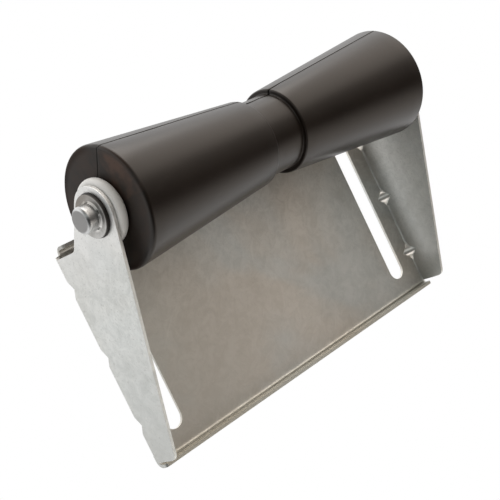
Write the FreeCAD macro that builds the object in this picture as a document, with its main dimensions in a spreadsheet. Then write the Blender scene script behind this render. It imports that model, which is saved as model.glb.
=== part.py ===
"""Boat trailer roller: a V roller on a shaft, held by a folded bracket.

Millimetres. +X runs along the roller's axis, +Z is up and the bracket's back face is the plane
y = 0, with the flanges reaching towards -Y. The origin is the centre of that back face.
"""
import FreeCAD, Part
import os
import re
import Sketcher

os.makedirs("parts", exist_ok=True)
doc = FreeCAD.newDocument("boat_trailer_roller")

# Driving dimensions

SIZES = [
    ("sheet", 2.5, "thickness of the bracket's sheet"),
    ("side_bend_radius", 1.0, "inside radius of the bend from plate to flange"),
    ("plate_height", 173.2, "over the outside faces of both lips"),
    ("lip_depth", 10.0, "back face to the front edge of a lip"),
    ("lip_bend_radius", 3.3, "inside radius of the bend from plate to lip"),
    ("lower_lip_inset", 1.3, "from a flange's outside face to the lip's end"),
    ("upper_lip_inset", 4.8, "from a flange's outside face to the lip's end"),
    ("lip_corner_radius", 2.5, "in plan, at the ends of a lip's front edge"),
    ("flange_base_gap", 2.4, "flange's bottom edge to the lower lip"),
    ("flange_crown_gap", 5.6, "flange's top edge to the upper lip"),
    ("toe_height", 8.1, "from the lower lip's inside face up to the side bends' lower ends"),
    ("slit_width", 0.35, "between a side bend's ends and the flat sheet beyond them"),
    ("bend_end_margin", 0.6, "from the start of a side bend to a slit's inner end"),
    ("foot_depth", 25.9, "back face to the flange's lower front corner"),
    ("foot_radius", 6.0, "at that corner"),
    ("throat_depth", 27.5, "back face to the corner between top edge and ear"),
    ("throat_radius", 6.0, "at that corner"),
    ("ear_radius", 20.0, "round the shaft"),
    ("axis_depth", 69.4, "back face to the shaft's axis"),
    ("axis_height", 94.65, "plate's middle to the shaft's axis"),
    ("slot_spacing", 279.3, "middle to middle of the two slots"),
    ("slot_width", 16.8, "across a slot"),
    ("slot_length", 137.0, "end to end of a slot"),
    ("gusset_spacing", 53.5, "from one pressed gusset to the next"),
    ("gusset_row_height", 1.6, "plate's middle to the crease of the middle gusset"),
    ("gusset_reach", 9.4, "from the inside corner out along plate and flange"),
    ("gusset_half_height", 9.0, "from a gusset's crease to where its facets run out"),
    ("gusset_waist_height", 4.5, "from a gusset's crease to where its steep facets turn shallow"),
    ("gusset_waist_reach", 2.8, "what is left of its reach at that height"),
    ("gusset_tip_reach", 0.6, "what is left where its facets run out in the corner"),
    ("gusset_dent_depth", 3.3, "from the bend's outside into a gusset's dent, along the corner's diagonal"),
    ("gusset_dent_half_height", 7.8, "from the dent's crease to where it runs out"),
    ("shaft_radius", 9.525, "shaft"),
    ("shaft_overhang", 12.5, "beyond each flange's outside face"),
    ("shaft_end_radius", 2.0, "rounding of the shaft's ends"),
    ("hole_clearance", 0.1, "radial, shaft in the flanges"),
    ("bore_clearance", 0.1, "radial, shaft in the roller"),
    ("washer_clearance", 0.2, "radial, shaft in a washer"),
    ("roller_length", 304.8, "end to end"),
    ("roller_radius", 44.7, "at the large ends"),
    ("roller_rim_radius", 2.8, "rounding of the large ends' rims"),
    ("cone_small_radius", 33.2, "where a cone ends beside the neck"),
    ("cone_rim_radius", 1.4, "rounding of that rim"),
    ("neck_radius", 29.5, "between the cones"),
    ("neck_length", 31.6, "between the cones"),
    ("neck_root_radius", 1.0, "in the corner between neck and cone"),
    ("washer_radius", 23.5, "over its rounded rim"),
    ("washer_thickness", 7.6, "along the shaft"),
    ("washer_rim_radius", 3.6, "rounding on both sides of its rim"),
    ("side_play", 0.5, "between flange, washer and roller"),
    ("end_play", 10.1, "between the right washer and the right flange, for the roller to shift"),
    ("nut_base_radius", 15.9, "push nut, at its open edge"),
    ("nut_face_radius", 15.2, "push nut, at the edge of its face"),
    ("nut_depth", 2.9, "push nut, open edge to face"),
    ("nut_collar_radius", 10.7, "outside of the nut's collar round the shaft"),
    ("nut_collar_height", 0.6, "collar above the nut's face"),
    ("nut_dish", 0.5, "how far the nut's face sinks towards its collar"),
    ("nut_sheet", 0.9, "thickness of the nut's sheet"),
    ("nut_gap", 0.3, "between the nut's open edge and the flange"),
    ("nut_notch_width", 4.2, "across the gap in the nut's collar"),
    ("nut_notch_depth", 3.0, "the gap, outwards from the shaft"),
    ("nut_notch_angle", 205.0, "round the shaft from straight up, seen along +X"),
]

NAMES = {name for name, value, note in SIZES}

sheet = doc.addObject("Spreadsheet::Sheet", "sizes")
for row, (name, value, note) in enumerate(SIZES, start=1):
    sheet.set(f"A{row}", name)
    sheet.set(f"B{row}", str(value))
    sheet.setAlias(f"B{row}", name)
    sheet.set(f"C{row}", note)
doc.recompute()

FAR = 400.0  # well clear of the whole part, for the outer side of a cut


def size(name):
    """The value of one named size."""
    return float(sheet.get(name))


def linked(expression):
    """The expression with each named size written as a cell of the sheet."""
    return re.sub("[a-z_]+", lambda word: f"sizes.{word[0]}" if word[0] in NAMES else word[0], expression)


def value_of(expression):
    """The number that an expression of named sizes stands for."""
    return float(sheet.evalExpression(linked(expression)))


def body_called(name):
    """An empty body with a label that names its file."""
    body = doc.addObject("PartDesign::Body", name)
    body.Label = name
    return body


def plane_of(body, role):
    """One of the body's own origin planes or axes."""
    return [item for item in body.Origin.OriginFeatures if item.Role == role][0]


def sketch_on(body, role, name, offset=None):
    """A sketch on an origin plane, moved along the plane's normal by an expression."""
    sketch = body.newObject("Sketcher::SketchObject", name)
    sketch.AttachmentSupport = [(plane_of(body, role), "")]
    sketch.MapMode = "FlatFace"
    if offset:
        sketch.setExpression(".AttachmentOffset.Base.z", linked(offset))
    return sketch


def pin_point(sketch, element, end, across, up):
    """Fixes one end of a sketch element to coordinates given as expressions."""
    for kind, axis, expression in (("DistanceX", -2, across), ("DistanceY", -1, up)):
        value = value_of(expression)
        if abs(value) < 1e-9:
            sketch.addConstraint(Sketcher.Constraint("PointOnObject", element, end, axis))
            continue
        index = sketch.addConstraint(Sketcher.Constraint(kind, -1, 1, element, end, value))
        sketch.setExpression(f"Constraints[{index}]", linked(expression))


def closed_lines(sketch, corners):
    """A closed run of straight lines through corners given as pairs of expressions."""
    points = [FreeCAD.Vector(value_of(across), value_of(up), 0) for across, up in corners]
    first = sketch.GeometryCount
    count = len(points)
    for index, point in enumerate(points):
        sketch.addGeometry(Part.LineSegment(point, points[(index + 1) % count]), False)
    for index, (across, up) in enumerate(corners):
        following = first + (index + 1) % count
        sketch.addConstraint(Sketcher.Constraint("Coincident", first + index, 2, following, 1))
        pin_point(sketch, first + index, 1, across, up)


def circle_at(sketch, across, up, radius):
    """A circle whose centre and radius are expressions."""
    centre = FreeCAD.Vector(value_of(across), value_of(up), 0)
    index = sketch.addGeometry(Part.Circle(centre, FreeCAD.Vector(0, 0, 1), value_of(radius)), False)
    pin_point(sketch, index, 3, across, up)
    rule = sketch.addConstraint(Sketcher.Constraint("Radius", index, value_of(radius)))
    sketch.setExpression(f"Constraints[{rule}]", linked(radius))


def slot_at(sketch, across, half_width, half_straight):
    """An upright slot, centred at the height of the sketch's origin."""
    middle, half, reach = value_of(across), value_of(half_width), value_of(half_straight)
    up = FreeCAD.Vector(0, 0, 1)
    left, right = middle - half, middle + half
    top = Part.Circle(FreeCAD.Vector(middle, reach, 0), up, half)
    low = Part.Circle(FreeCAD.Vector(middle, -reach, 0), up, half)
    pi = FreeCAD.Units.Quantity("180 deg").getValueAs("rad").Value
    top_arc = sketch.addGeometry(Part.ArcOfCircle(top, 0, pi), False)
    low_arc = sketch.addGeometry(Part.ArcOfCircle(low, pi, 2 * pi), False)
    left_side = sketch.addGeometry(
        Part.LineSegment(FreeCAD.Vector(left, reach, 0), FreeCAD.Vector(left, -reach, 0)), False)
    right_side = sketch.addGeometry(
        Part.LineSegment(FreeCAD.Vector(right, -reach, 0), FreeCAD.Vector(right, reach, 0)), False)
    sketch.addConstraint(Sketcher.Constraint("Tangent", top_arc, 2, left_side, 1))
    sketch.addConstraint(Sketcher.Constraint("Tangent", left_side, 2, low_arc, 1))
    sketch.addConstraint(Sketcher.Constraint("Tangent", low_arc, 2, right_side, 1))
    sketch.addConstraint(Sketcher.Constraint("Tangent", right_side, 2, top_arc, 1))
    pin_point(sketch, top_arc, 3, across, half_straight)
    pin_point(sketch, low_arc, 3, across, f"0 - ( {half_straight} )")
    rule = sketch.addConstraint(Sketcher.Constraint("Radius", top_arc, half))
    sketch.setExpression(f"Constraints[{rule}]", linked(half_width))


def pad(body, sketch, name, length, symmetric=False):
    """A pad of a sketch, over a length given as an expression."""
    feature = body.newObject("PartDesign::Pad", name)
    feature.Profile = sketch
    feature.SideType = "Symmetric" if symmetric else "One side"
    feature.setExpression("Length", linked(length))
    doc.recompute()
    return feature


def cut_through(body, sketch, name):
    """A pocket through everything on both sides of the sketch; it must remove some volume."""
    before = body.Shape.Volume
    feature = body.newObject("PartDesign::Pocket", name)
    feature.Profile = sketch
    feature.SideType = "Symmetric"
    feature.Type = "ThroughAll"
    doc.recompute()
    if not feature.Shape.Volume < before - 1.0:
        raise RuntimeError(f"{name} cuts nothing")
    return feature


def revolve(body, sketch, name):
    """A full turn of a half section about the sketch's horizontal axis."""
    feature = body.newObject("PartDesign::Revolution", name)
    feature.Profile = sketch
    feature.ReferenceAxis = (sketch, ["H_Axis"])
    feature.Angle = 360.0
    doc.recompute()
    return feature


def round_edges(body, name, radius, wanted):
    """Rounds the edges of the body's tip whose middle point and direction the test accepts."""
    base = body.Tip
    names = []
    for number, edge in enumerate(base.Shape.Edges, start=1):
        if edge.Length < 1e-6:
            continue
        middle = edge.valueAt((edge.FirstParameter + edge.LastParameter) / 2)
        span = edge.Vertexes[-1].Point - edge.Vertexes[0].Point
        if wanted(middle, span, edge):
            names.append(f"Edge{number}")
    if not names:
        raise RuntimeError(f"{name} found no edge")
    feature = body.newObject("PartDesign::Fillet", name)
    feature.Base = (base, names)
    feature.setExpression("Radius", linked(radius))
    doc.recompute()
    return feature


def near(first, second, tolerance=0.05):
    """True where two lengths agree."""
    return abs(first - second) < tolerance


def runs_along(span, axis):
    """True where an edge's span lies along one axis."""
    sizes = [abs(span.x), abs(span.y), abs(span.z)]
    return sizes[axis] > 0.5 and sum(sizes) - sizes[axis] < 0.01


# Heights and places that several features share, as expressions

LIP_UNDERSIDE = "plate_height / 2 - sheet"
FLANGE_TOP = "plate_height / 2 - sheet - flange_crown_gap"
FLANGE_BOTTOM = "0 - plate_height / 2 + sheet + flange_base_gap"
PLATE_BOTTOM = "0 - plate_height / 2 + sheet + lip_bend_radius"
INSIDE_FACE = "( roller_length + washer_thickness * 2 + side_play * 3 + end_play ) / 2"
HALF_WIDTH = f"{INSIDE_FACE} + sheet"
SLIT_START = f"{INSIDE_FACE} - side_bend_radius + bend_end_margin"
BEND_TOP = "plate_height / 2 - sheet - lip_bend_radius - slit_width"
BEND_BOTTOM = "0 - plate_height / 2 + sheet + toe_height"
AXIS_Y = "0 - axis_depth"

# Bracket: the channel of plate and flanges, as one U pulled upwards

bracket = body_called("bracket")
channel = sketch_on(bracket, "XY_Plane", "channel_section", FLANGE_BOTTOM)
OPEN_SIDE = "0 - axis_depth - ear_radius - sheet"
closed_lines(channel, [
    (f"0 - ( {HALF_WIDTH} )", "0"),
    (f"0 - ( {HALF_WIDTH} )", OPEN_SIDE),
    (f"0 - ( {INSIDE_FACE} )", OPEN_SIDE),
    (f"0 - ( {INSIDE_FACE} )", "0 - sheet"),
    (INSIDE_FACE, "0 - sheet"),
    (INSIDE_FACE, OPEN_SIDE),
    (HALF_WIDTH, OPEN_SIDE),
    (HALF_WIDTH, "0"),
])
pad(bracket, channel, "channel", f"axis_height + ear_radius + sheet - ( {FLANGE_BOTTOM} )")

half_width = value_of(HALF_WIDTH)
inside_face = value_of(INSIDE_FACE)
round_edges(bracket, "side_bends_outside", "side_bend_radius + sheet",
            lambda middle, span, edge: runs_along(span, 2) and near(abs(middle.x), half_width)
            and near(middle.y, 0))
round_edges(bracket, "side_bends_inside", "side_bend_radius",
            lambda middle, span, edge: runs_along(span, 2) and near(abs(middle.x), inside_face)
            and near(middle.y, -size("sheet")))

# Bracket: the flanges' outline, seen along the roller, with the ear round the shaft

outline = sketch_on(bracket, "YZ_Plane", "flange_outline")
BEHIND = "sheet * 4"
BEND_FRONT = "0 - sheet - side_bend_radius"
corners = [
    (BEND_FRONT, FLANGE_TOP),
    ("0 - throat_depth", FLANGE_TOP),
    ("0 - foot_depth", FLANGE_BOTTOM),
    (BEND_FRONT, FLANGE_BOTTOM),
    ("0 - sheet - slit_width", BEND_BOTTOM),
    (BEHIND, BEND_BOTTOM),
    (BEHIND, BEND_TOP),
    ("0 - sheet", BEND_TOP),
]
points = [FreeCAD.Vector(value_of(across), value_of(up), 0) for across, up in corners]
ear_centre = FreeCAD.Vector(value_of(AXIS_Y), size("axis_height"), 0)
ear_radius = size("ear_radius")


def tangent_point(start, turn):
    """Where a line from start touches the ear's circle, on the side that turn gives."""
    reach = ear_centre - start
    angle = turn * FreeCAD.Vector(1, 0, 0).getAngle(
        FreeCAD.Vector(ear_radius, (reach.Length ** 2 - ear_radius ** 2) ** 0.5, 0))
    rotation = FreeCAD.Rotation(FreeCAD.Vector(0, 0, 1), FreeCAD.Units.Quantity(f"{angle} rad"))
    return ear_centre + rotation.multVec(reach * (-ear_radius / reach.Length))


back_touch = tangent_point(points[1], 1)
front_touch = tangent_point(points[2], -1)
ear_top = ear_centre + FreeCAD.Vector(-0.3, 1, 0).normalize() * ear_radius
top_edge = outline.addGeometry(Part.LineSegment(points[0], points[1]), False)
back_edge = outline.addGeometry(Part.LineSegment(points[1], back_touch), False)
ear = outline.addGeometry(Part.Arc(back_touch, ear_top, front_touch), False)
front_edge = outline.addGeometry(Part.LineSegment(front_touch, points[2]), False)
rest = [outline.addGeometry(Part.LineSegment(points[index], points[(index + 1) % len(points)]), False)
        for index in range(2, len(points))]
chain = [front_edge] + rest + [top_edge, back_edge]
for first, second in zip(chain, chain[1:]):
    outline.addConstraint(Sketcher.Constraint("Coincident", first, 2, second, 1))
outline.addConstraint(Sketcher.Constraint("Tangent", back_edge, 2, ear, 1))
outline.addConstraint(Sketcher.Constraint("Tangent", front_edge, 1, ear, 2))
pin_point(outline, ear, 3, AXIS_Y, "axis_height")
ear_rule = outline.addConstraint(Sketcher.Constraint("Radius", ear, ear_radius))
outline.setExpression(f"Constraints[{ear_rule}]", "sizes.ear_radius")
for element, (across, up) in zip([top_edge, back_edge] + rest, corners):
    pin_point(outline, element, 1, across, up)
closed_lines(outline, [(f"{FAR}", f"{FAR}"), (f"0 - {FAR}", f"{FAR}"),
                       (f"0 - {FAR}", f"0 - {FAR}"), (f"{FAR}", f"0 - {FAR}")])
cut_through(bracket, outline, "flange_trim")

throat_height = value_of(FLANGE_TOP)
foot_height = value_of(FLANGE_BOTTOM)
round_edges(bracket, "throats", "throat_radius",
            lambda middle, span, edge: runs_along(span, 0) and near(middle.z, throat_height)
            and near(middle.y, -size("throat_depth")))
round_edges(bracket, "feet", "foot_radius",
            lambda middle, span, edge: runs_along(span, 0) and near(middle.z, foot_height)
            and near(middle.y, -size("foot_depth")))

# Bracket: the flat sheet above and below the side bends, and the stiffening lips


def lip_section(sketch, side):
    """The bend and leg of one lip; side is an empty string for the upper lip, a minus for the lower."""
    start = f"{side} ( plate_height / 2 - sheet - lip_bend_radius )"
    inner = f"{side} ( plate_height / 2 - sheet )"
    outer = f"{side} ( plate_height / 2 )"
    turned = "0 - sheet - lip_bend_radius"
    corners = [("0", start), ("0 - sheet", start), (turned, inner), ("0 - lip_depth", inner),
               ("0 - lip_depth", outer), (turned, outer)]
    points = [FreeCAD.Vector(value_of(across), value_of(up), 0) for across, up in corners]
    centre = FreeCAD.Vector(value_of(turned), value_of(start), 0)
    elements = []
    for index, point in enumerate(points):
        following = points[(index + 1) % len(points)]
        if index in (1, 5):
            radius = (point - centre).Length
            middle = centre + ((point + following) / 2 - centre).normalize() * radius
            elements.append(sketch.addGeometry(Part.Arc(point, middle, following), False))
        else:
            elements.append(sketch.addGeometry(Part.LineSegment(point, following), False))
    for index, (element, (across, up)) in enumerate(zip(elements, corners)):
        following = (index + 1) % len(elements)
        ends = [nearest_end(sketch, element, points[following], 2),
                nearest_end(sketch, elements[following], points[following], 1)]
        sketch.addConstraint(Sketcher.Constraint(
            "Coincident", element, ends[0], elements[following], ends[1]))
        pin_point(sketch, element, nearest_end(sketch, element, points[index], 1), across, up)
    for element, radius in ((elements[1], "lip_bend_radius"), (elements[5], "lip_bend_radius + sheet")):
        rule = sketch.addConstraint(Sketcher.Constraint("Radius", element, value_of(radius)))
        sketch.setExpression(f"Constraints[{rule}]", linked(radius))


def nearest_end(sketch, element, point, usual):
    """Which end of a sketch element lies on a point, since an arc may run either way."""
    return usual if (sketch.getPoint(element, usual) - point).Length < 1e-6 else 3 - usual


crown = sketch_on(bracket, "XZ_Plane", "crown_outline")
closed_lines(crown, [
    (f"0 - ( {SLIT_START} )", BEND_TOP),
    (SLIT_START, BEND_TOP),
    (SLIT_START, f"0 - ( {PLATE_BOTTOM} )"),
    (f"0 - ( {SLIT_START} )", f"0 - ( {PLATE_BOTTOM} )"),
])
pad(bracket, crown, "plate_crown", "sheet")

TOE_END = f"{HALF_WIDTH} - lower_lip_inset"
toe = sketch_on(bracket, "XZ_Plane", "toe_outline")
closed_lines(toe, [
    (f"0 - ( {TOE_END} )", PLATE_BOTTOM),
    (TOE_END, PLATE_BOTTOM),
    (TOE_END, f"{BEND_BOTTOM} - slit_width"),
    (SLIT_START, f"{BEND_BOTTOM} - slit_width"),
    (SLIT_START, BEND_BOTTOM),
    (f"0 - ( {SLIT_START} )", BEND_BOTTOM),
    (f"0 - ( {SLIT_START} )", f"{BEND_BOTTOM} - slit_width"),
    (f"0 - ( {TOE_END} )", f"{BEND_BOTTOM} - slit_width"),
])
pad(bracket, toe, "plate_toe", "sheet")

for name, side in (("lower_lip", "0 -"), ("upper_lip", "")):
    section = sketch_on(bracket, "YZ_Plane", f"{name}_section")
    lip_section(section, side)
    pad(bracket, section, name, f"( {HALF_WIDTH} - {name}_inset ) * 2", symmetric=True)

lip_underside = value_of(LIP_UNDERSIDE)
round_edges(bracket, "lip_corners", "lip_corner_radius",
            lambda middle, span, edge: runs_along(span, 2) and near(middle.y, -size("lip_depth"))
            and abs(middle.z) > lip_underside)

# Bracket: the two slots of the plate and the shaft's holes

slots = sketch_on(bracket, "XZ_Plane", "slot_outline")
for across in ("0 - slot_spacing / 2", "slot_spacing / 2"):
    slot_at(slots, across, "slot_width / 2", "slot_length / 2 - slot_width / 2")
cut_through(bracket, slots, "slots")

holes = sketch_on(bracket, "YZ_Plane", "shaft_hole_outline")
circle_at(holes, AXIS_Y, "axis_height", "shaft_radius + hole_clearance")
cut_through(bracket, holes, "shaft_holes")

# Bracket: three pressed gussets in each side bend, a ridge inside and its dent outside



def gusset_sections(kind, corner_x, corner_y, places):
    """Triangles in the corner of a side bend, from a gusset's low end to its high one, for one loft."""
    sections = []
    for place, rise, leg in places:
        height = f"gusset_row_height - gusset_spacing {rise}"
        section = sketch_on(bracket, "XY_Plane", f"gusset_{kind}_{place}", height)
        closed_lines(section, [
            (corner_x, corner_y),
            (corner_x, f"{corner_y} - ( {leg} )"),
            (f"{corner_x} + ( {leg} )", corner_y),
        ])
        sections.append(section)
    return sections


def gusset_loft(kind, feature_type, sections):
    """A ruled loft through the sections."""
    feature = bracket.newObject(feature_type, f"gusset_{kind}")
    feature.Profile = sections[0]
    feature.Sections = sections[1:]
    feature.Ruled = True
    doc.recompute()
    return feature


ridge = gusset_loft("ridge", "PartDesign::AdditiveLoft", gusset_sections(
    "ridge", f"0 - ( {INSIDE_FACE} )", "0 - sheet", [
        ("low_tip", "- gusset_half_height", "gusset_tip_reach"),
        ("low_waist", "- gusset_waist_height", "gusset_waist_reach"),
        ("crease", "", "gusset_reach"),
        ("high_waist", "+ gusset_waist_height", "gusset_waist_reach"),
        ("high_tip", "+ gusset_half_height", "gusset_tip_reach")]))

# A dent's leg runs from a point one sheet outside the bend's corner; the bend's own rounding leaves
# ROUNDING between that corner and its surface, along the diagonal

ROUNDING = "( sqrt(2) - 1 ) * ( side_bend_radius + sheet )"
DENT_TIP = f"{ROUNDING} * 0.9 * sqrt(2) + sheet * 2"
dent = gusset_loft("dent", "PartDesign::SubtractiveLoft", gusset_sections(
    "dent", f"0 - ( {HALF_WIDTH} ) - sheet", "sheet", [
        ("low_tip", "- gusset_dent_half_height", DENT_TIP),
        ("crease", "", f"( {ROUNDING} + gusset_dent_depth ) * sqrt(2) + sheet * 2"),
        ("high_tip", "+ gusset_dent_half_height", DENT_TIP)]))

gussets = bracket.newObject("PartDesign::MultiTransform", "gussets")
gussets.Originals = [ridge, dent]
row = bracket.newObject("PartDesign::LinearPattern", "gusset_row")
row.Direction = (plane_of(bracket, "Z_Axis"), [""])
row.setExpression("Length", "sizes.gusset_spacing * 2")
row.Occurrences = 3
pair = bracket.newObject("PartDesign::Mirrored", "gusset_pair")
pair.MirrorPlane = (plane_of(bracket, "YZ_Plane"), [""])
gussets.Transformations = [row, pair]
bracket.Tip = gussets
doc.recompute()


def on_axis(body, place):
    """Puts a body's origin on the shaft's axis, at a place along it."""
    if place:
        body.setExpression(".Placement.Base.x", linked(place))
    body.setExpression(".Placement.Base.y", linked(AXIS_Y))
    body.setExpression(".Placement.Base.z", "sizes.axis_height")


# Roller: two cones and a neck, as one turned section

ROLLER_PLACE = f"0 - ( {INSIDE_FACE} ) + washer_thickness + side_play * 2 + roller_length / 2"
roller = body_called("roller")
section = sketch_on(roller, "XZ_Plane", "roller_section")
BORE = "shaft_radius + bore_clearance"
closed_lines(section, [
    ("0 - roller_length / 2", BORE),
    ("0 - roller_length / 2", "roller_radius"),
    ("0 - neck_length / 2", "cone_small_radius"),
    ("0 - neck_length / 2", "neck_radius"),
    ("neck_length / 2", "neck_radius"),
    ("neck_length / 2", "cone_small_radius"),
    ("roller_length / 2", "roller_radius"),
    ("roller_length / 2", BORE),
])
revolve(roller, section, "roller_form")
for name, radius, place, rim in (
        ("large_rims", "roller_rim_radius", "roller_length", "roller_radius"),
        ("cone_rims", "cone_rim_radius", "neck_length", "cone_small_radius"),
        ("neck_roots", "neck_root_radius", "neck_length", "neck_radius")):
    round_edges(roller, name, radius,
                lambda middle, span, edge: near(abs(middle.x), size(place) / 2)
                and hasattr(edge.Curve, "Radius") and near(edge.Curve.Radius, size(rim)))
on_axis(roller, ROLLER_PLACE)

# Shaft: a plain round bar with rounded ends

shaft = body_called("shaft")
section = sketch_on(shaft, "YZ_Plane", "shaft_section")
circle_at(section, "0", "0", "shaft_radius")
SHAFT_END = f"{HALF_WIDTH} + shaft_overhang"
pad(shaft, section, "bar", f"( {SHAFT_END} ) * 2", symmetric=True)
shaft_end = value_of(SHAFT_END)
round_edges(shaft, "ends", "shaft_end_radius",
            lambda middle, span, edge: near(abs(middle.x), shaft_end))
on_axis(shaft, None)

# Washers: thick rings with a rounded rim, one at each end of the roller

washer_places = {
    "washer_left": f"0 - ( {INSIDE_FACE} ) + side_play + washer_thickness / 2",
    "washer_right": f"{ROLLER_PLACE} + roller_length / 2 + side_play + washer_thickness / 2",
}
for name, place in washer_places.items():
    washer = body_called(name)
    section = sketch_on(washer, "XZ_Plane", f"{name}_section")
    closed_lines(section, [
        ("0 - washer_thickness / 2", "shaft_radius + washer_clearance"),
        ("0 - washer_thickness / 2", "washer_radius"),
        ("washer_thickness / 2", "washer_radius"),
        ("washer_thickness / 2", "shaft_radius + washer_clearance"),
    ])
    revolve(washer, section, f"{name}_ring")
    round_edges(washer, f"{name}_rim", "washer_rim_radius",
                lambda middle, span, edge: hasattr(edge.Curve, "Radius")
                and near(edge.Curve.Radius, size("washer_radius")))
    on_axis(washer, place)

# Push nuts: thin dished caps gripping the shaft outside the flanges, the right one turned round

for name, side in (("push_nut_left", 180.0), ("push_nut_right", 0.0)):
    nut = body_called(name)
    section = sketch_on(nut, "XZ_Plane", f"{name}_section")
    FACE = "nut_depth - nut_dish"
    closed_lines(section, [
        ("0", "nut_base_radius - nut_sheet"),
        ("0", "nut_base_radius"),
        ("nut_depth", "nut_face_radius"),
        (FACE, "nut_collar_radius"),
        ("nut_depth + nut_collar_height", "shaft_radius + nut_sheet / 2"),
        ("nut_depth + nut_collar_height", "shaft_radius"),
        (f"{FACE} - nut_sheet", "shaft_radius"),
        ("nut_depth - nut_sheet", "nut_face_radius - nut_sheet"),
    ])
    revolve(nut, section, f"{name}_cap")
    notch = sketch_on(nut, "YZ_Plane", f"{name}_notch_outline")
    closed_lines(notch, [
        ("0 - nut_notch_width / 2", "0"),
        ("nut_notch_width / 2", "0"),
        ("nut_notch_width / 2", "shaft_radius + nut_notch_depth"),
        ("0 - nut_notch_width / 2", "shaft_radius + nut_notch_depth"),
    ])
    notch.setExpression(".AttachmentOffset.Rotation.Angle", "sizes.nut_notch_angle")
    cut_through(nut, notch, f"{name}_notch")
    on_axis(nut, f"{HALF_WIDTH} + nut_gap" if side == 0.0 else f"0 - ( {HALF_WIDTH} ) - nut_gap")
    nut.Placement.Rotation = FreeCAD.Rotation(FreeCAD.Vector(0, 0, 1), side)

doc.recompute()

# Every object must be sound before anything is written

for item in doc.Objects:
    if "Invalid" in item.State or "Error" in item.State:
        raise RuntimeError(f"{item.Name} failed: {item.State}")
for body in [item for item in doc.Objects if item.TypeId == "PartDesign::Body"]:
    shape = body.Shape
    if shape.isNull() or not shape.isValid() or len(shape.Solids) != 1:
        raise RuntimeError(f"{body.Label} is not one sound solid")
    shape.exportStep(f"parts/{body.Label}.step")
    print(body.Label, round(shape.Volume, 1), [round(v, 2) for v in (
        shape.BoundBox.XMin, shape.BoundBox.XMax, shape.BoundBox.YMin, shape.BoundBox.YMax,
        shape.BoundBox.ZMin, shape.BoundBox.ZMax)])
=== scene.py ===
"""Boat trailer roller on its folded bracket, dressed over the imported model.

Metres. +X runs along the roller, +Z is up, and the bracket's back face is the plane y = 0.
"""
import math

import bmesh
import bpy
import numpy as np
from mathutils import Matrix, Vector


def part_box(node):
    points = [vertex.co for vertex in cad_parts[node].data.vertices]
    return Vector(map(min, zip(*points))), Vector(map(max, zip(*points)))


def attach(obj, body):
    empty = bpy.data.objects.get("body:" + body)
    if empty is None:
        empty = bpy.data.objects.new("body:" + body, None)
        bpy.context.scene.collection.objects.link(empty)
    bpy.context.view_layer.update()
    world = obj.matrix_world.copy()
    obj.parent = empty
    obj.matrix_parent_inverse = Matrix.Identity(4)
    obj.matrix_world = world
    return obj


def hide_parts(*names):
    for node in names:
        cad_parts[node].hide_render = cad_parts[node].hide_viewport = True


MM = 0.001

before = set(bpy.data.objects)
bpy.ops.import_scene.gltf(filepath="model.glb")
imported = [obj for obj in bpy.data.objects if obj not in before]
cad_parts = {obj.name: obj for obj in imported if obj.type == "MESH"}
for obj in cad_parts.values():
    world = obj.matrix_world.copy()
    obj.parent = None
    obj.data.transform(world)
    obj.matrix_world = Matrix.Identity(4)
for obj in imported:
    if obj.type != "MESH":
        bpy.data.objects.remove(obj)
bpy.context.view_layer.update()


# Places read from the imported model

roller_low, roller_high = (np.array(corner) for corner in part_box("roller"))
shaft_low, shaft_high = (np.array(corner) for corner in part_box("shaft"))
bracket_low, bracket_high = (np.array(corner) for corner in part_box("bracket"))
AXIS_Y = float(shaft_low[1] + shaft_high[1]) / 2
AXIS_Z = float(shaft_low[2] + shaft_high[2]) / 2
ROLLER_MIDDLE = float(roller_low[0] + roller_high[0]) / 2
ROLLER_HALF = float(roller_high[0] - roller_low[0]) / 2
SHAFT_RADIUS = float(shaft_high[2] - shaft_low[2]) / 2
SHAFT_HALF = float(shaft_high[0] - shaft_low[0]) / 2
FLANGE_X = float(bracket_high[0])
PLATE_HALF = -float(bracket_low[2])


# Sizes that the boxes don't give

ROLLER_RIM = 2.8 * MM
RIM_LOSS = 0.24 * MM  # what the rounding of the rim takes off the corner's radius
LARGE_RADIUS = float(roller_high[2] - roller_low[2]) / 2 + RIM_LOSS
CONE_SMALL = 33.2 * MM
NECK_RADIUS = 29.5 * MM
NECK_HALF = 15.8 * MM
BORE_RADIUS = SHAFT_RADIUS + 0.1 * MM
WASHER_BORE = SHAFT_RADIUS + 0.2 * MM
SHAFT_ROUNDING = 3.0 * MM
NUT_SHEET = 0.9 * MM
NUT_DEPTH = 2.9 * MM
NUT_FACE_RADIUS = 15.2 * MM
NUT_COLLAR_RADIUS = 11.2 * MM
NUT_TEETH = 5
SOFT_EDGE = 0.28 * MM
GUSSET_HEIGHTS = (-51.9 * MM, 1.6 * MM, 55.1 * MM)
GUSSET_HALF = 10 * MM
BEND_DEPTH = 12 * MM
BEND_END = 74 * MM

# The mould's parting line: its angle from the top, how much it leans on the left cone, and
# where it crosses the end faces
PARTING_ANGLE = math.radians(26.0)
PARTING_LEAN = math.radians(3.5)
END_LINE_ANGLE = math.radians(37.32)
END_LINE_OFFSET = 7.0 * MM
GASH_MIDDLE = -8.0 * MM


# Shader helpers


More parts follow.
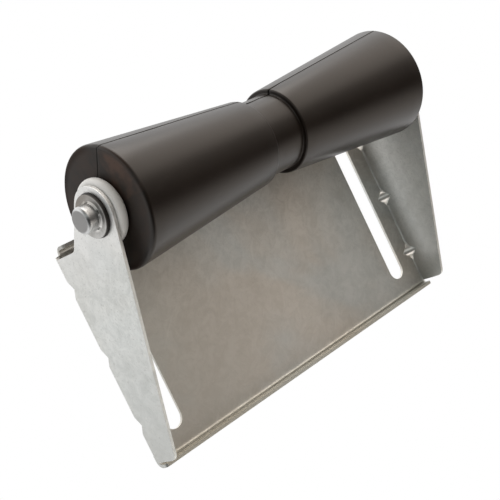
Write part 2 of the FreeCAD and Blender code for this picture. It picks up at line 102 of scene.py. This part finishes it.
class Link:
    """One output socket of a node tree, with the arithmetic that a pattern needs."""

    def __init__(self, nodes, socket):
        self.nodes = nodes
        self.socket = socket

    def _math(self, operation, first, second=None):
        inputs = {0: first} if second is None else {0: first, 1: second}
        return self.nodes.add("ShaderNodeMath", {"operation": operation}, inputs)

    def __add__(self, other):
        return self._math("ADD", self, other)

    __radd__ = __add__

    def __sub__(self, other):
        return self._math("SUBTRACT", self, other)

    def __rsub__(self, other):
        return self._math("SUBTRACT", other, self)

    def __mul__(self, other):
        return self._math("MULTIPLY", self, other)

    __rmul__ = __mul__

    def __pow__(self, other):
        return self._math("POWER", self, other)

    def size(self):
        return self._math("ABSOLUTE", self)

    def step(self, low, high):
        """0 below low, 1 above high, smooth between; low may be the larger of the two."""
        return self.nodes.add("ShaderNodeMapRange", {"interpolation_type": "SMOOTHSTEP"},
                              {"Value": self, "From Min": low, "From Max": high})


class Nodes:
    """A node tree that is built by expressions."""

    def __init__(self, tree):
        self.tree = tree

    def plug(self, value, socket):
        """Links a socket or sets its value; a colour of three parts becomes opaque."""
        if isinstance(value, Link):
            self.tree.links.new(value.socket, socket)
        elif socket.type == "RGBA":
            socket.default_value = (*value, 1.0)
        else:
            socket.default_value = value

    def node(self, kind, settings, inputs):
        """Any node: its settings are set first, then the values or links of its sockets."""
        made = self.tree.nodes.new(kind)
        for key, value in settings.items():
            if key == "stops":
                stops = made.color_ramp.elements
                while len(stops) < len(value):
                    stops.new(0.5)
                for stop, (position, colour) in zip(stops, value):
                    stop.position = position
                    stop.color = (*colour, 1.0)
            else:
                setattr(made, key, value)
        for key, value in inputs.items():
            self.plug(value, made.inputs[key])
        return made

    def add(self, kind, settings, inputs, output=0):
        """A node's output as a link."""
        return Link(self, self.node(kind, settings, inputs).outputs[output])

    def split(self, vector):
        """The three parts of a vector."""
        parts = self.node("ShaderNodeSeparateXYZ", {}, {0: vector})
        return [Link(self, parts.outputs[index]) for index in range(3)]

    def mix(self, amount, first, second):
        """A colour between two colours."""
        return self.add("ShaderNodeMix", {"data_type": "RGBA"},
                        {0: amount, 6: first, 7: second}, 2)


class Paint(Nodes):
    """A material with one Principled shader, whose patterns stand on the piece's own place."""

    def __init__(self, name):
        self.material = bpy.data.materials.new(name)
        self.material.use_nodes = True
        super().__init__(self.material.node_tree)
        self.shader = self.tree.nodes["Principled BSDF"]
        self.place = self.add("ShaderNodeTexCoord", {}, {}, "Object")
        self.x, self.y, self.z = self.split(self.place)

    def leaning(self, angle):
        """The place turned about the Y axis, so that a pattern stretched along x leans."""
        cos, sin = math.cos(angle), math.sin(angle)
        return self.add("ShaderNodeCombineXYZ", {}, {
            0: self.x * cos + self.z * sin, 1: self.y, 2: self.z * cos - self.x * sin})

    def noise(self, scale, detail, roughness, place=None, stretch=None, distortion=0.0):
        """Noise between about 0.2 and 0.8; stretch divides the pattern's size along each axis."""
        place = place or self.place
        if stretch:
            place = self.add("ShaderNodeMapping", {}, {"Vector": place, "Scale": stretch})
        return self.add("ShaderNodeTexNoise", {}, {
            "Vector": place, "Scale": scale, "Detail": detail, "Roughness": roughness,
            "Distortion": distortion})

    def bump(self, height, distance, strength, onto=None):
        """A normal from a height between 0 and 1 that stands for a real distance in metres."""
        inputs = {"Height": height, "Distance": distance, "Strength": strength}
        if onto:
            inputs["Normal"] = onto
        return self.add("ShaderNodeBump", {}, inputs)

    def set(self, **inputs):
        """Values or links of the Principled shader, with underscores for spaces."""
        for key, value in inputs.items():
            self.plug(value, self.shader.inputs[key.replace("_", " ")])

    def from_axis(self):
        """How far back and how far up the place is from the shaft's axis."""
        return self.y - AXIS_Y, self.z - AXIS_Z


# Materials


def zinc_sheet():
    """Galvanised sheet: satin zinc with cloudy patches, mottling, specks and scratches.

    It changes with the place on the part: the flanges are cooler, painted darker at the foot as
    shade and painted lighter at the ear as a highlight; the plate is painted darker towards its
    left as shade; the gussets are smoother and painted lighter as a highlight; and each lip is
    painted darker as shade, olive on the lower lip and grey on the upper, with a darker line of
    painted shade in its bend.
    """
    paint = Paint("zinc_sheet")
    leaning = paint.leaning(0.75)
    crossing = paint.leaning(-0.6)
    clouds = paint.noise(13.0, 4.0, 0.55, leaning, (0.5, 1.0, 1.3), 0.8)
    mottle = paint.noise(95.0, 5.0, 0.72, leaning, (0.75, 1.0, 1.1), 1.2)
    hatch = paint.noise(110.0, 4.0, 0.65, crossing, (0.6, 1.0, 1.2), 0.9)
    warmth = paint.noise(9.0, 3.0, 0.5, crossing, (0.6, 1.0, 1.2), 0.6)
    speckle = paint.noise(620.0, 3.0, 0.7)
    scratch = paint.noise(170.0, 3.0, 0.7, leaning, (0.04, 1.0, 1.3))
    patch = clouds.step(0.32, 0.68)
    fine = mottle.step(0.36, 0.64) * 0.7 + hatch.step(0.36, 0.64) * 0.3
    tone = patch * 0.40 + fine * 0.60

    across, up = paint.x.size(), paint.z.size()
    flange = across.step(FLANGE_X - 4.2 * MM, FLANGE_X - 2.6 * MM)
    plate = 1.0 - flange
    cool = paint.mix(tone, (0.545, 0.562, 0.545), (0.755, 0.765, 0.745))
    warm = paint.mix(tone, (0.592, 0.550, 0.492), (0.790, 0.750, 0.690))
    colour = paint.mix(warmth.step(0.38, 0.60) * (1.0 - flange * 0.75), cool, warm)
    # Painted shade: the flanges are painted darker towards the foot.
    foot = flange * paint.z.step(40 * MM, -80 * MM)
    colour = paint.mix(foot * 0.55, colour, (0.48, 0.485, 0.465))
    # Painted highlight: the flanges are painted lighter towards the ear.
    ear = flange * paint.z.step(30 * MM, 110 * MM)
    colour = paint.mix(ear * 0.70, colour, (0.88, 0.865, 0.845))
    # Painted shade: the plate is painted darker towards its left, patchy with the clouds.
    left_painted_shade = plate * paint.x.step(-10 * MM, -150 * MM) * (0.5 + patch * 0.5)
    colour = paint.mix(left_painted_shade * 0.55, colour, (0.45, 0.455, 0.42))
    scuff = scratch.step(0.62, 0.76) * clouds.step(0.42, 0.58)
    colour = paint.mix(scuff * 0.5, colour, (0.80, 0.78, 0.74))
    specks = speckle.step(0.56, 0.74) * (0.28 + flange * 0.3)
    colour = paint.mix(specks, colour, (0.40, 0.395, 0.375))

    # Painted shade: each lip is painted darker, olive on the lower lip and grey on the upper, with
    # a darker line of painted shade in its bend.
    lip = up.step(PLATE_HALF - 5.8 * MM, PLATE_HALF - 5.0 * MM)
    lip = lip * paint.y.step(-2.0 * MM, -3.0 * MM) * plate
    bend_painted_shade = up.step(PLATE_HALF - 4.5 * MM, PLATE_HALF - 3.8 * MM)
    bend_painted_shade = bend_painted_shade * up.step(PLATE_HALF - 2.6 * MM, PLATE_HALF - 2.9 * MM)
    lip_painted_shade = paint.mix(paint.z.step(10 * MM, -10 * MM), (0.33, 0.33, 0.33), (0.47, 0.455, 0.375))
    colour = paint.mix(lip * 0.45, colour, lip_painted_shade)
    colour = paint.mix(lip * bend_painted_shade * 0.8, colour, (0.18, 0.168, 0.14))

    pressed = sum((paint.z - height).size().step(8.5 * MM, 6.0 * MM) for height in GUSSET_HEIGHTS)
    pressed = pressed * across.step(FLANGE_X - 13.5 * MM, FLANGE_X - 11.0 * MM) * plate
    pressed = pressed * paint.y.step(-13 * MM, -11 * MM) * paint.y.step(-2.4 * MM, -3.4 * MM)
    # Painted highlight: the gussets are painted lighter.
    colour = paint.mix(pressed * 0.7, colour, (0.93, 0.90, 0.85))

    rough = 0.43 - pressed * 0.12 - fine * 0.07 + speckle * 0.06 + scuff * 0.06 + lip * 0.08
    paint.set(Base_Color=colour, Metallic=0.80, Roughness=rough,
              Normal=paint.bump(speckle * 0.5 + mottle * 0.5, 0.03 * MM, 0.4))
    return paint.material


def moulded_rubber():
    """Satin black rubber with a brown cast, fine pores, rubbed patches and a parting line painted
    dark as shade.

    The line runs along the body and on across both end faces. The end faces are matt, with a
    brown stain on one side of the line, and their front rim is smooth and painted near-black as
    shade.
    """
    paint = Paint("moulded_rubber")
    clouds = paint.noise(18.0, 4.0, 0.6)
    pores = paint.noise(1300.0, 2.0, 0.5)
    rub = paint.noise(45.0, 5.0, 0.65, paint.place, (0.4, 1.0, 1.0))
    colour = paint.mix(clouds.step(0.3, 0.7), (0.0064, 0.0034, 0.0020), (0.0100, 0.0062, 0.0042))
    colour = paint.mix(rub.step(0.58, 0.76) * 0.25, colour, (0.036, 0.030, 0.026))

    deep, high = paint.from_axis()
    along = paint.x - ROLLER_MIDDLE
    across = deep * math.cos(PARTING_ANGLE) + high * math.sin(PARTING_ANGLE)
    toward = high * math.cos(PARTING_ANGLE) - deep * math.sin(PARTING_ANGLE)
    across = across + toward * along.step(-NECK_HALF, -ROLLER_HALF) * PARTING_LEAN
    upper = high.step(-0.1 * MM, 0.1 * MM) * 2.0 - 1.0
    end_across = deep * math.cos(END_LINE_ANGLE) + high * math.sin(END_LINE_ANGLE)
    end_across = end_across * upper - END_LINE_OFFSET
    at_end = along.size().step(ROLLER_HALF - 0.8 * MM, ROLLER_HALF - 0.4 * MM)
    line = across * (1.0 - at_end) + end_across * at_end
    line = line.size().step(0.80 * MM, 0.30 * MM)
    gash = (along - GASH_MIDDLE).size().step(4.5 * MM, 3.0 * MM)
    gash = gash + (along - NECK_HALF).size().step(2.2 * MM, 1.0 * MM)
    gash = gash * across.size().step(1.6 * MM, 0.7 * MM) * toward.step(0.0, 1.0 * MM)

    face = along.size().step(ROLLER_HALF - 2.2 * MM, ROLLER_HALF - 0.4 * MM)
    stain = paint.noise(38.0, 4.0, 0.6).step(0.36, 0.60)
    stain = stain * (end_across.step(0.5 * MM, -0.5 * MM) * 0.75 + 0.25)
    earth = paint.mix(stain, (0.0125, 0.0085, 0.0065), (0.062, 0.030, 0.018))
    colour = paint.mix(face * 0.9, colour, earth)
    rim = toward * toward + across * across
    rim = face * rim.step((38.1 * MM) ** 2, (43.6 * MM) ** 2)
    # Painted shade: the front rim of each end face is painted near-black.
    front_rim_painted_shade = rim * deep.step(0.0, -20 * MM)
    colour = paint.mix(front_rim_painted_shade * 0.9, colour, (0.0045, 0.0036, 0.003))
    # Painted shade: the parting line and the gash are painted darker, as the shade in their groove
    # and cut.
    colour = paint.mix(line * 0.85, colour, (0.004, 0.0035, 0.003))
    colour = paint.mix(gash, colour, (0.002, 0.0018, 0.0015))

    rough = 0.27 + clouds * 0.06 + pores * 0.04 + line * 0.3 + gash * 0.4
    rough = rough + face * 0.24 + rim * 0.30 - front_rim_painted_shade * 0.54
    pitted = paint.bump(pores, 0.06 * MM, 0.35)
    paint.set(Base_Color=colour, Roughness=rough, Specular_IOR_Level=0.33,
              Specular_Tint=(1.0, 0.945, 0.89),
              Normal=paint.bump(1.0 - line, 0.4 * MM, 0.9, pitted))
    return paint.material


def white_nylon():
    """Turned white nylon, slightly warm, with a soft tooling grain."""
    paint = Paint("white_nylon")
    clouds = paint.noise(60.0, 3.0, 0.5)
    fine = paint.noise(900.0, 2.0, 0.5)
    colour = paint.mix(clouds.step(0.3, 0.7), (0.71, 0.695, 0.67), (0.79, 0.775, 0.75))
    paint.set(Base_Color=colour, Roughness=0.42 + fine * 0.12, Specular_IOR_Level=0.4,
              Normal=paint.bump(fine, 0.03 * MM, 0.3))
    return paint.material


def zinc_bar():
    """Bright zinc on a drawn bar; its sawn ends are rougher and darker, partly their own finish
    and partly painted shade.
    """
    paint = Paint("zinc_bar")
    clouds = paint.noise(90.0, 4.0, 0.6)
    grain = paint.noise(700.0, 3.0, 0.6, paint.place, (0.15, 1.0, 1.0))
    colour = paint.mix(clouds.step(0.35, 0.65), (0.35, 0.352, 0.35), (0.47, 0.472, 0.468))
    # The darker colour of the sawn ends is partly their own finish and partly painted shade.
    end = paint.x.size().step(SHAFT_HALF - 0.40 * MM, SHAFT_HALF - 0.05 * MM)
    colour = paint.mix(end, colour, (0.30, 0.295, 0.29))
    paint.set(Base_Color=colour, Metallic=0.95, Roughness=0.24 + clouds * 0.14 + end * 0.15,
              Normal=paint.bump(grain, 0.05 * MM, 0.4))
    return paint.material


def spring_steel():
    """Spring steel of the push nuts: cloudier than the bar, painted darker above as shade, and
    painted near-black at the rim as shade.
    """
    paint = Paint("spring_steel")
    clouds = paint.noise(120.0, 4.0, 0.6)
    colour = paint.mix(clouds.step(0.35, 0.65), (0.42, 0.41, 0.39), (0.58, 0.57, 0.55))
    deep, high = paint.from_axis()
    away = (deep * deep + high * high) ** 0.5
    # Painted shade: the outer rim, where the nut meets the flange, is painted near-black.
    rim_painted_shade = away.step(NUT_FACE_RADIUS - 0.4 * MM, NUT_FACE_RADIUS + 0.3 * MM)
    # Painted shade: the nut is painted darker upwards and towards the back.
    painted_upper_shade = (high * 0.8 + deep * 0.4).step(-4 * MM, 12 * MM) * 0.75
    colour = paint.mix(painted_upper_shade, colour, (0.19, 0.165, 0.14))
    colour = paint.mix(rim_painted_shade, colour, (0.035, 0.032, 0.030))
    paint.set(Base_Color=colour, Metallic=0.92, Roughness=0.28 + clouds * 0.12 + rim_painted_shade * 0.25,
              Normal=paint.bump(clouds, 0.08 * MM, 0.4))
    return paint.material


# Surfaces


def rounded(points, radii, steps=6):
    """A closed outline with each corner turned into an arc.

    At a corner the arc touches both sides at radius times the cotangent of half the corner's
    angle; its points are the arc's centre plus the radius turned evenly from side to side.
    """
    points = np.array(points, float)
    count = len(points)
    pieces = []
    for index, radius in enumerate(radii):
        corner = points[index]
        if radius <= 0:
            pieces.append(corner[None, :])
            continue
        back = points[index - 1] - corner
        ahead = points[(index + 1) % count] - corner
        back /= np.linalg.norm(back)
        ahead /= np.linalg.norm(ahead)
        half = math.acos(float(np.clip(back @ ahead, -1, 1))) / 2
        middle = (back + ahead) / np.linalg.norm(back + ahead)
        centre = corner + middle * radius / math.sin(half)
        start = corner + back * radius / math.tan(half) - centre
        end = corner + ahead * radius / math.tan(half) - centre
        turn = math.pi - 2 * half
        share = np.linspace(0, 1, steps + 1)[:, None]
        arc = (np.sin((1 - share) * turn) * start + np.sin(share * turn) * end) / math.sin(turn)
        pieces.append(centre + arc)
    return np.concatenate(pieces)


def turned(name, outline, place, body, node, angles, shape=None):
    """A turned piece: a closed outline of (along, radius) swept round the shaft's axis.

    A point at angle a stands at radius r as (x, axis y - r sin a, axis z + r cos a); shape may
    change x and r as a function of x, r and a.
    """
    along, radius, angle = np.broadcast_arrays(outline[:, :1], outline[:, 1:], angles[None, :])
    if shape is not None:
        along, radius = shape(along, radius, angle)
    points = np.stack([along + place, AXIS_Y - radius * np.sin(angle),
                       AXIS_Z + radius * np.cos(angle)], -1)
    return skin(name, points, body, node)


def around(steps):
    """Angles of a full turn, evenly spaced."""
    return np.linspace(0, 2 * math.pi, steps, endpoint=False)


def quads(rows, columns, closed):
    """Faces of a grid of points, by number.

    Each row closes on itself, and if closed is true the last row also meets the first.
    """
    row, column = np.meshgrid(np.arange(rows if closed else rows - 1), np.arange(columns),
                              indexing="ij")
    next_row, next_column = (row + 1) % rows, (column + 1) % columns
    faces = np.stack([row * columns + column, row * columns + next_column,
                      next_row * columns + next_column, next_row * columns + column], -1)
    return faces.reshape(-1, 4)


def stand(name, mesh, body, node):
    """A smooth piece that shows a mesh in the node's stead and rides on the body."""
    piece = bpy.data.objects.new(name, mesh)
    bpy.context.scene.collection.objects.link(piece)
    mesh.shade_smooth()
    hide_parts(node)
    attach(piece, body)
    return piece


def skin(name, points, body, node):
    """A piece over a grid of points, facing outwards.

    Its rows form a ring, or begin and end in a single point.
    """
    rows, columns = points.shape[:2]
    poles = np.ptp(points[0], axis=0).max() == 0
    mesh = bpy.data.meshes.new(name)
    mesh.from_pydata(points.reshape(-1, 3).tolist(), [], quads(rows, columns, not poles).tolist())
    mesh.update()
    work = bmesh.new()
    work.from_mesh(mesh)
    if poles:
        bmesh.ops.remove_doubles(work, verts=work.verts, dist=0.001 * MM)
    bmesh.ops.recalc_face_normals(work, faces=work.faces)
    work.to_mesh(mesh)
    work.free()
    return stand(name, mesh, body, node)


def finish(piece, material):
    """The piece's one material."""
    piece.data.materials.clear()
    piece.data.materials.append(material)


# Roller


def parting_groove(along, radius, angle):
    """The mould's parting line: a fine groove between two soft swells, a nick and a gash.

    The groove, each swell, the nick and the gash are bell curves of the distance along and round
    the body. The line leans on the left cone, by a smooth step of the distance from the neck.
    """
    share = np.clip((-along - NECK_HALF) / (ROLLER_HALF - NECK_HALF), 0, 1)
    turned_by = angle - PARTING_ANGLE - PARTING_LEAN * share * share * (3 - 2 * share)
    away = np.abs((turned_by + math.pi / 2) % math.pi - math.pi / 2) * radius
    groove = -0.45 * MM * np.exp(-(away / (0.34 * MM)) ** 2)
    swell = 0.10 * MM * np.exp(-((away - 0.9 * MM) / (0.7 * MM)) ** 2)
    turn = np.abs((turned_by + math.pi) % (2 * math.pi) - math.pi) * radius
    nick = np.exp(-((along - NECK_HALF) / (1.5 * MM)) ** 2 - (turn / (1.0 * MM)) ** 2)
    gash = np.exp(-((along - GASH_MIDDLE) / (3.5 * MM)) ** 4 - (turn / (0.7 * MM)) ** 2)
    change = groove + swell - 1.3 * MM * nick - 0.8 * MM * gash
    outside = (np.abs(along) < ROLLER_HALF - 1.0 * MM) & (radius > BORE_RADIUS + 3 * MM)
    return along, radius + np.where(outside, change, 0.0)


def outline_points(corner_points, radii, span):
    """A rounded outline with its long sides cut to pieces no longer than span."""
    base = rounded(corner_points, radii)
    following = np.roll(base, -1, axis=0)
    parts = []
    for start, end in zip(base, following):
        count = max(1, int(np.ceil(np.linalg.norm(end - start) / span)))
        share = np.linspace(0, 1, count, endpoint=False)[:, None]
        parts.append(start + (end - start) * share)
    return np.concatenate(parts)


roller_outline = outline_points(
    [(-ROLLER_HALF, BORE_RADIUS), (-ROLLER_HALF, LARGE_RADIUS), (-NECK_HALF, CONE_SMALL),
     (-NECK_HALF, NECK_RADIUS), (NECK_HALF, NECK_RADIUS), (NECK_HALF, CONE_SMALL),
     (ROLLER_HALF, LARGE_RADIUS), (ROLLER_HALF, BORE_RADIUS)],
    [0.6 * MM, ROLLER_RIM, 1.4 * MM, 1.0 * MM, 1.0 * MM, 1.4 * MM, ROLLER_RIM, 0.6 * MM],
    12 * MM)
near_line = np.linspace(-0.05, 0.05, 41) + PARTING_ANGLE
roller_angles = np.unique(np.round(np.concatenate([
    around(180), near_line, near_line + math.pi]), 5))
roller = turned("roller_rubber", roller_outline, ROLLER_MIDDLE, "roller", "roller", roller_angles,
                parting_groove)


# Washers and shaft

washer_pieces = []
for side in ("left", "right"):
    low, high = (np.array(corner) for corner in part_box(f"washer_{side}"))
    half = float(high[0] - low[0]) / 2
    outer = float(high[2] - low[2]) / 2
    outline = rounded(
        [(-half, WASHER_BORE), (-half, outer), (half, outer), (half, WASHER_BORE)],
        [0.5 * MM, half * 0.93, half * 0.93, 0.5 * MM], 10)
    washer_pieces.append(turned(f"washer_ring_{side}", outline, float(low[0] + high[0]) / 2,
                                f"washer_{side}", f"washer_{side}", around(128)))

pole_ring = 3.0 * MM
shaft_outline = rounded(
    [(-SHAFT_HALF, 0.0), (-SHAFT_HALF, pole_ring), (-SHAFT_HALF, SHAFT_RADIUS),
     (SHAFT_HALF, SHAFT_RADIUS), (SHAFT_HALF, pole_ring), (SHAFT_HALF, 0.0)],
    [0, 0, SHAFT_ROUNDING, SHAFT_ROUNDING, 0, 0], 10)
shaft = turned("shaft_bar", shaft_outline, 0.0, "shaft", "shaft", around(96))


# Bracket


def softened(node, name, body, bevel, wanted):
    """The node's own mesh, with flat faces joined and the wanted sharp edges bevelled."""
    mesh = bpy.data.objects[node].data.copy()
    mesh.name = name
    work = bmesh.new()
    work.from_mesh(mesh)
    bmesh.ops.remove_doubles(work, verts=work.verts, dist=0.002 * MM)
    bmesh.ops.dissolve_limit(work, angle_limit=math.radians(0.5), verts=work.verts,
                             edges=work.edges)
    sharp = [edge for edge in work.edges if len(edge.link_faces) == 2
             and edge.calc_face_angle() > math.radians(40)
             and all(wanted(vert.co) for vert in edge.verts)]
    bmesh.ops.bevel(work, geom=sharp, offset=bevel, segments=2, profile=0.5, affect="EDGES",
                    clamp_overlap=False)
    work.to_mesh(mesh)
    work.free()
    piece = stand(name, mesh, body, node)
    mesh.set_sharp_from_angle(angle=math.radians(28))
    weighted = piece.modifiers.new("weighted", "WEIGHTED_NORMAL")
    weighted.keep_sharp = True
    weighted.weight = 100
    return piece


def clear_of_gussets(point):
    """True away from the pressed gussets in the side bends and from the ends of those bends."""
    if point.y < -BEND_DEPTH or abs(point.x) < FLANGE_X - 13 * MM:
        return True
    nearest = min(abs(point.z - height) for height in GUSSET_HEIGHTS)
    return nearest > GUSSET_HALF and abs(point.z) < BEND_END


bracket = softened("bracket", "bracket_sheet", "bracket", SOFT_EDGE, clear_of_gussets)


# Push nuts


def push_nut(side):
    """A dished cap whose inner edge is cut into teeth that bend outwards along the shaft."""
    outward = -1.0 if side == "left" else 1.0
    low, high = (np.array(corner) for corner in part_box(f"push_nut_{side}"))
    base = float(high[0]) if side == "left" else float(low[0])
    outer = float(high[2] - low[2]) / 2
    bore = SHAFT_RADIUS + 0.02 * MM
    outline = outline_points(
        [(0.0, outer - NUT_SHEET), (0.0, outer), (NUT_DEPTH, NUT_FACE_RADIUS),
         (NUT_DEPTH - 0.5 * MM, NUT_COLLAR_RADIUS), (NUT_DEPTH - 0.2 * MM, bore),
         (NUT_DEPTH - 1.0 * MM, bore), (NUT_DEPTH - 1.35 * MM, NUT_COLLAR_RADIUS),
         (NUT_DEPTH - NUT_SHEET, NUT_FACE_RADIUS - NUT_SHEET)],
        [0.1 * MM, 0.2 * MM, 0.7 * MM, 0.8 * MM, 0.15 * MM, 0.1 * MM, 0.3 * MM, 0.4 * MM],
        0.6 * MM)

    def teeth(along, radius, angle):
        """Lifts the inner edge between radial gaps, by a smooth square wave round the shaft."""
        inward = np.clip((NUT_COLLAR_RADIUS - radius) / (NUT_COLLAR_RADIUS - bore), 0, 1)
        wave = np.clip(0.5 + 3.0 * (np.cos(NUT_TEETH * (angle - 0.9)) + 0.75), 0, 1)
        return (along + (1.15 * wave - 0.25) * MM * inward ** 1.5) * outward, radius

    return turned(f"push_nut_cap_{side}", outline, base, "shaft", f"push_nut_{side}", around(150),
                  teeth)


nuts = [push_nut(side) for side in ("left", "right")]


# Looks of each piece

zinc = zinc_sheet()
rubber = moulded_rubber()
nylon = white_nylon()
bar = zinc_bar()
spring = spring_steel()
finish(roller, rubber)
finish(shaft, bar)
finish(bracket, zinc)
for piece in washer_pieces:
    finish(piece, nylon)
for piece in nuts:
    finish(piece, spring)


# Floor, light and camera

FLOOR_Z = -0.40
FLOOR_Y = -0.05
FLOOR_RADIUS = 0.42
FLOOR_SOLID = 0.25  # the radius at which the floor begins to fade


def floor():
    """A pale round floor well below the hanging part, whose rim fades away."""
    rings, spokes = 40, 96
    radius, angle = np.broadcast_arrays(
        np.linspace(2 * MM, FLOOR_RADIUS, rings)[:, None], around(spokes)[None, :])
    points = np.stack([radius * np.cos(angle), radius * np.sin(angle) + FLOOR_Y,
                       np.full(radius.shape, FLOOR_Z)], -1)
    faces = quads(rings, spokes, False)[:, ::-1]
    mesh = bpy.data.meshes.new("floor")
    mesh.from_pydata(points.reshape(-1, 3).tolist(), [], faces.tolist())
    disc = bpy.data.objects.new("floor", mesh)
    bpy.context.scene.collection.objects.link(disc)
    paint = Paint("pale_floor")
    deep = paint.y - FLOOR_Y
    away = (paint.x * paint.x + deep * deep) ** 0.5
    paint.set(Base_Color=(0.93, 0.93, 0.92), Roughness=0.9,
              Alpha=away.step(FLOOR_RADIUS, FLOOR_SOLID))
    finish(disc, paint.material)


floor()


def lamp(name, place, aim, width, height, power, colour):
    """A soft rectangular lamp that looks at a point."""
    data = bpy.data.lights.new(name, "AREA")
    data.shape = "RECTANGLE"
    data.size = width
    data.size_y = height
    data.energy = power
    data.color = colour
    made = bpy.data.objects.new(name, data)
    bpy.context.scene.collection.objects.link(made)
    made.location = place
    made.rotation_euler = (Vector(aim) - Vector(place)).to_track_quat("-Z", "Y").to_euler()


lamp("top_softbox", (0.35, -0.25, 1.15), (0.0, -0.05, 0.05), 0.9, 0.7, 5.3, (1.0, 0.955, 0.91))

# Light levels of the room's three sides at each height, where 1 is the white of the backdrop
ROOM_HEIGHTS = (-0.90, -0.62, -0.40, -0.20, 0.0, 0.20, 0.40, 0.62, 0.90)
ROOM_RIGHT = (1.79, 1.15, 0.03, 0.19, 0.46, 0.65, 2.14, 2.48, 1.95)
ROOM_LEFT = (0.11, 0.06, 0.02, 0.02, 0.03, 0.57, 0.74, 0.22, 0.17)
ROOM_BACK = (1.15, 1.60, 0.92, 0.93, 1.05, 0.66, 1.15, 1.80, 1.50)
BRIGHTEST = 5.0
RIGHT_TINT = (1.0, 0.93, 0.86)
LEFT_TINT = (0.96, 1.0, 0.98)


def studio():
    """The room: a light backdrop behind, and soft panels in front whose level changes with height.

    The eye sees plain white all round; everything else is lit by the room and mirrors it.
    """
    world = bpy.data.worlds.new("studio")
    bpy.context.scene.world = world
    world.use_nodes = True
    world.node_tree.nodes.clear()
    nodes = Nodes(world.node_tree)
    right, back, up = nodes.split(nodes.add("ShaderNodeTexCoord", {}, {}, "Generated"))
    height = up * 0.5 + 0.5

    def panel(levels, tint=(1.0, 1.0, 1.0)):
        """Levels by height, as parts of the brightest."""
        stops = [((at + 1) / 2, tuple(part * level / BRIGHTEST for part in tint))
                 for at, level in zip(ROOM_HEIGHTS, levels)]
        return nodes.add("ShaderNodeValToRGB", {"stops": stops}, {0: height})

    front = nodes.mix(right.step(-0.45, 0.45),
                      panel(ROOM_LEFT, LEFT_TINT), panel(ROOM_RIGHT, RIGHT_TINT))
    room = nodes.mix(back.step(-0.35, 0.25), front, panel(ROOM_BACK))
    eye = nodes.add("ShaderNodeLightPath", {}, {}, "Is Camera Ray")
    lit = nodes.add("ShaderNodeBackground", {}, {"Color": room, "Strength": BRIGHTEST})
    white = nodes.add("ShaderNodeBackground", {}, {"Color": (1.0, 1.0, 1.0), "Strength": 1.0})
    seen = nodes.add("ShaderNodeMixShader", {}, {0: eye, 1: lit, 2: white})
    nodes.node("ShaderNodeOutputWorld", {}, {"Surface": seen})


studio()

CAMERA_PLACE = (-573.05 * MM, -670.91 * MM, 81.41 * MM)
CAMERA_TURN = (85.468, 25.661, -42.376)
LENS = 79.25

camera_data = bpy.data.cameras.new("camera")
camera_data.sensor_width = 36.0
camera_data.lens = LENS
camera_data.clip_start = 0.01
camera = bpy.data.objects.new("camera", camera_data)
bpy.context.scene.collection.objects.link(camera)
camera.location = CAMERA_PLACE
camera.rotation_euler = tuple(math.radians(angle) for angle in CAMERA_TURN)
bpy.context.scene.camera = camera

bpy.context.scene.view_settings.view_transform = "Standard"
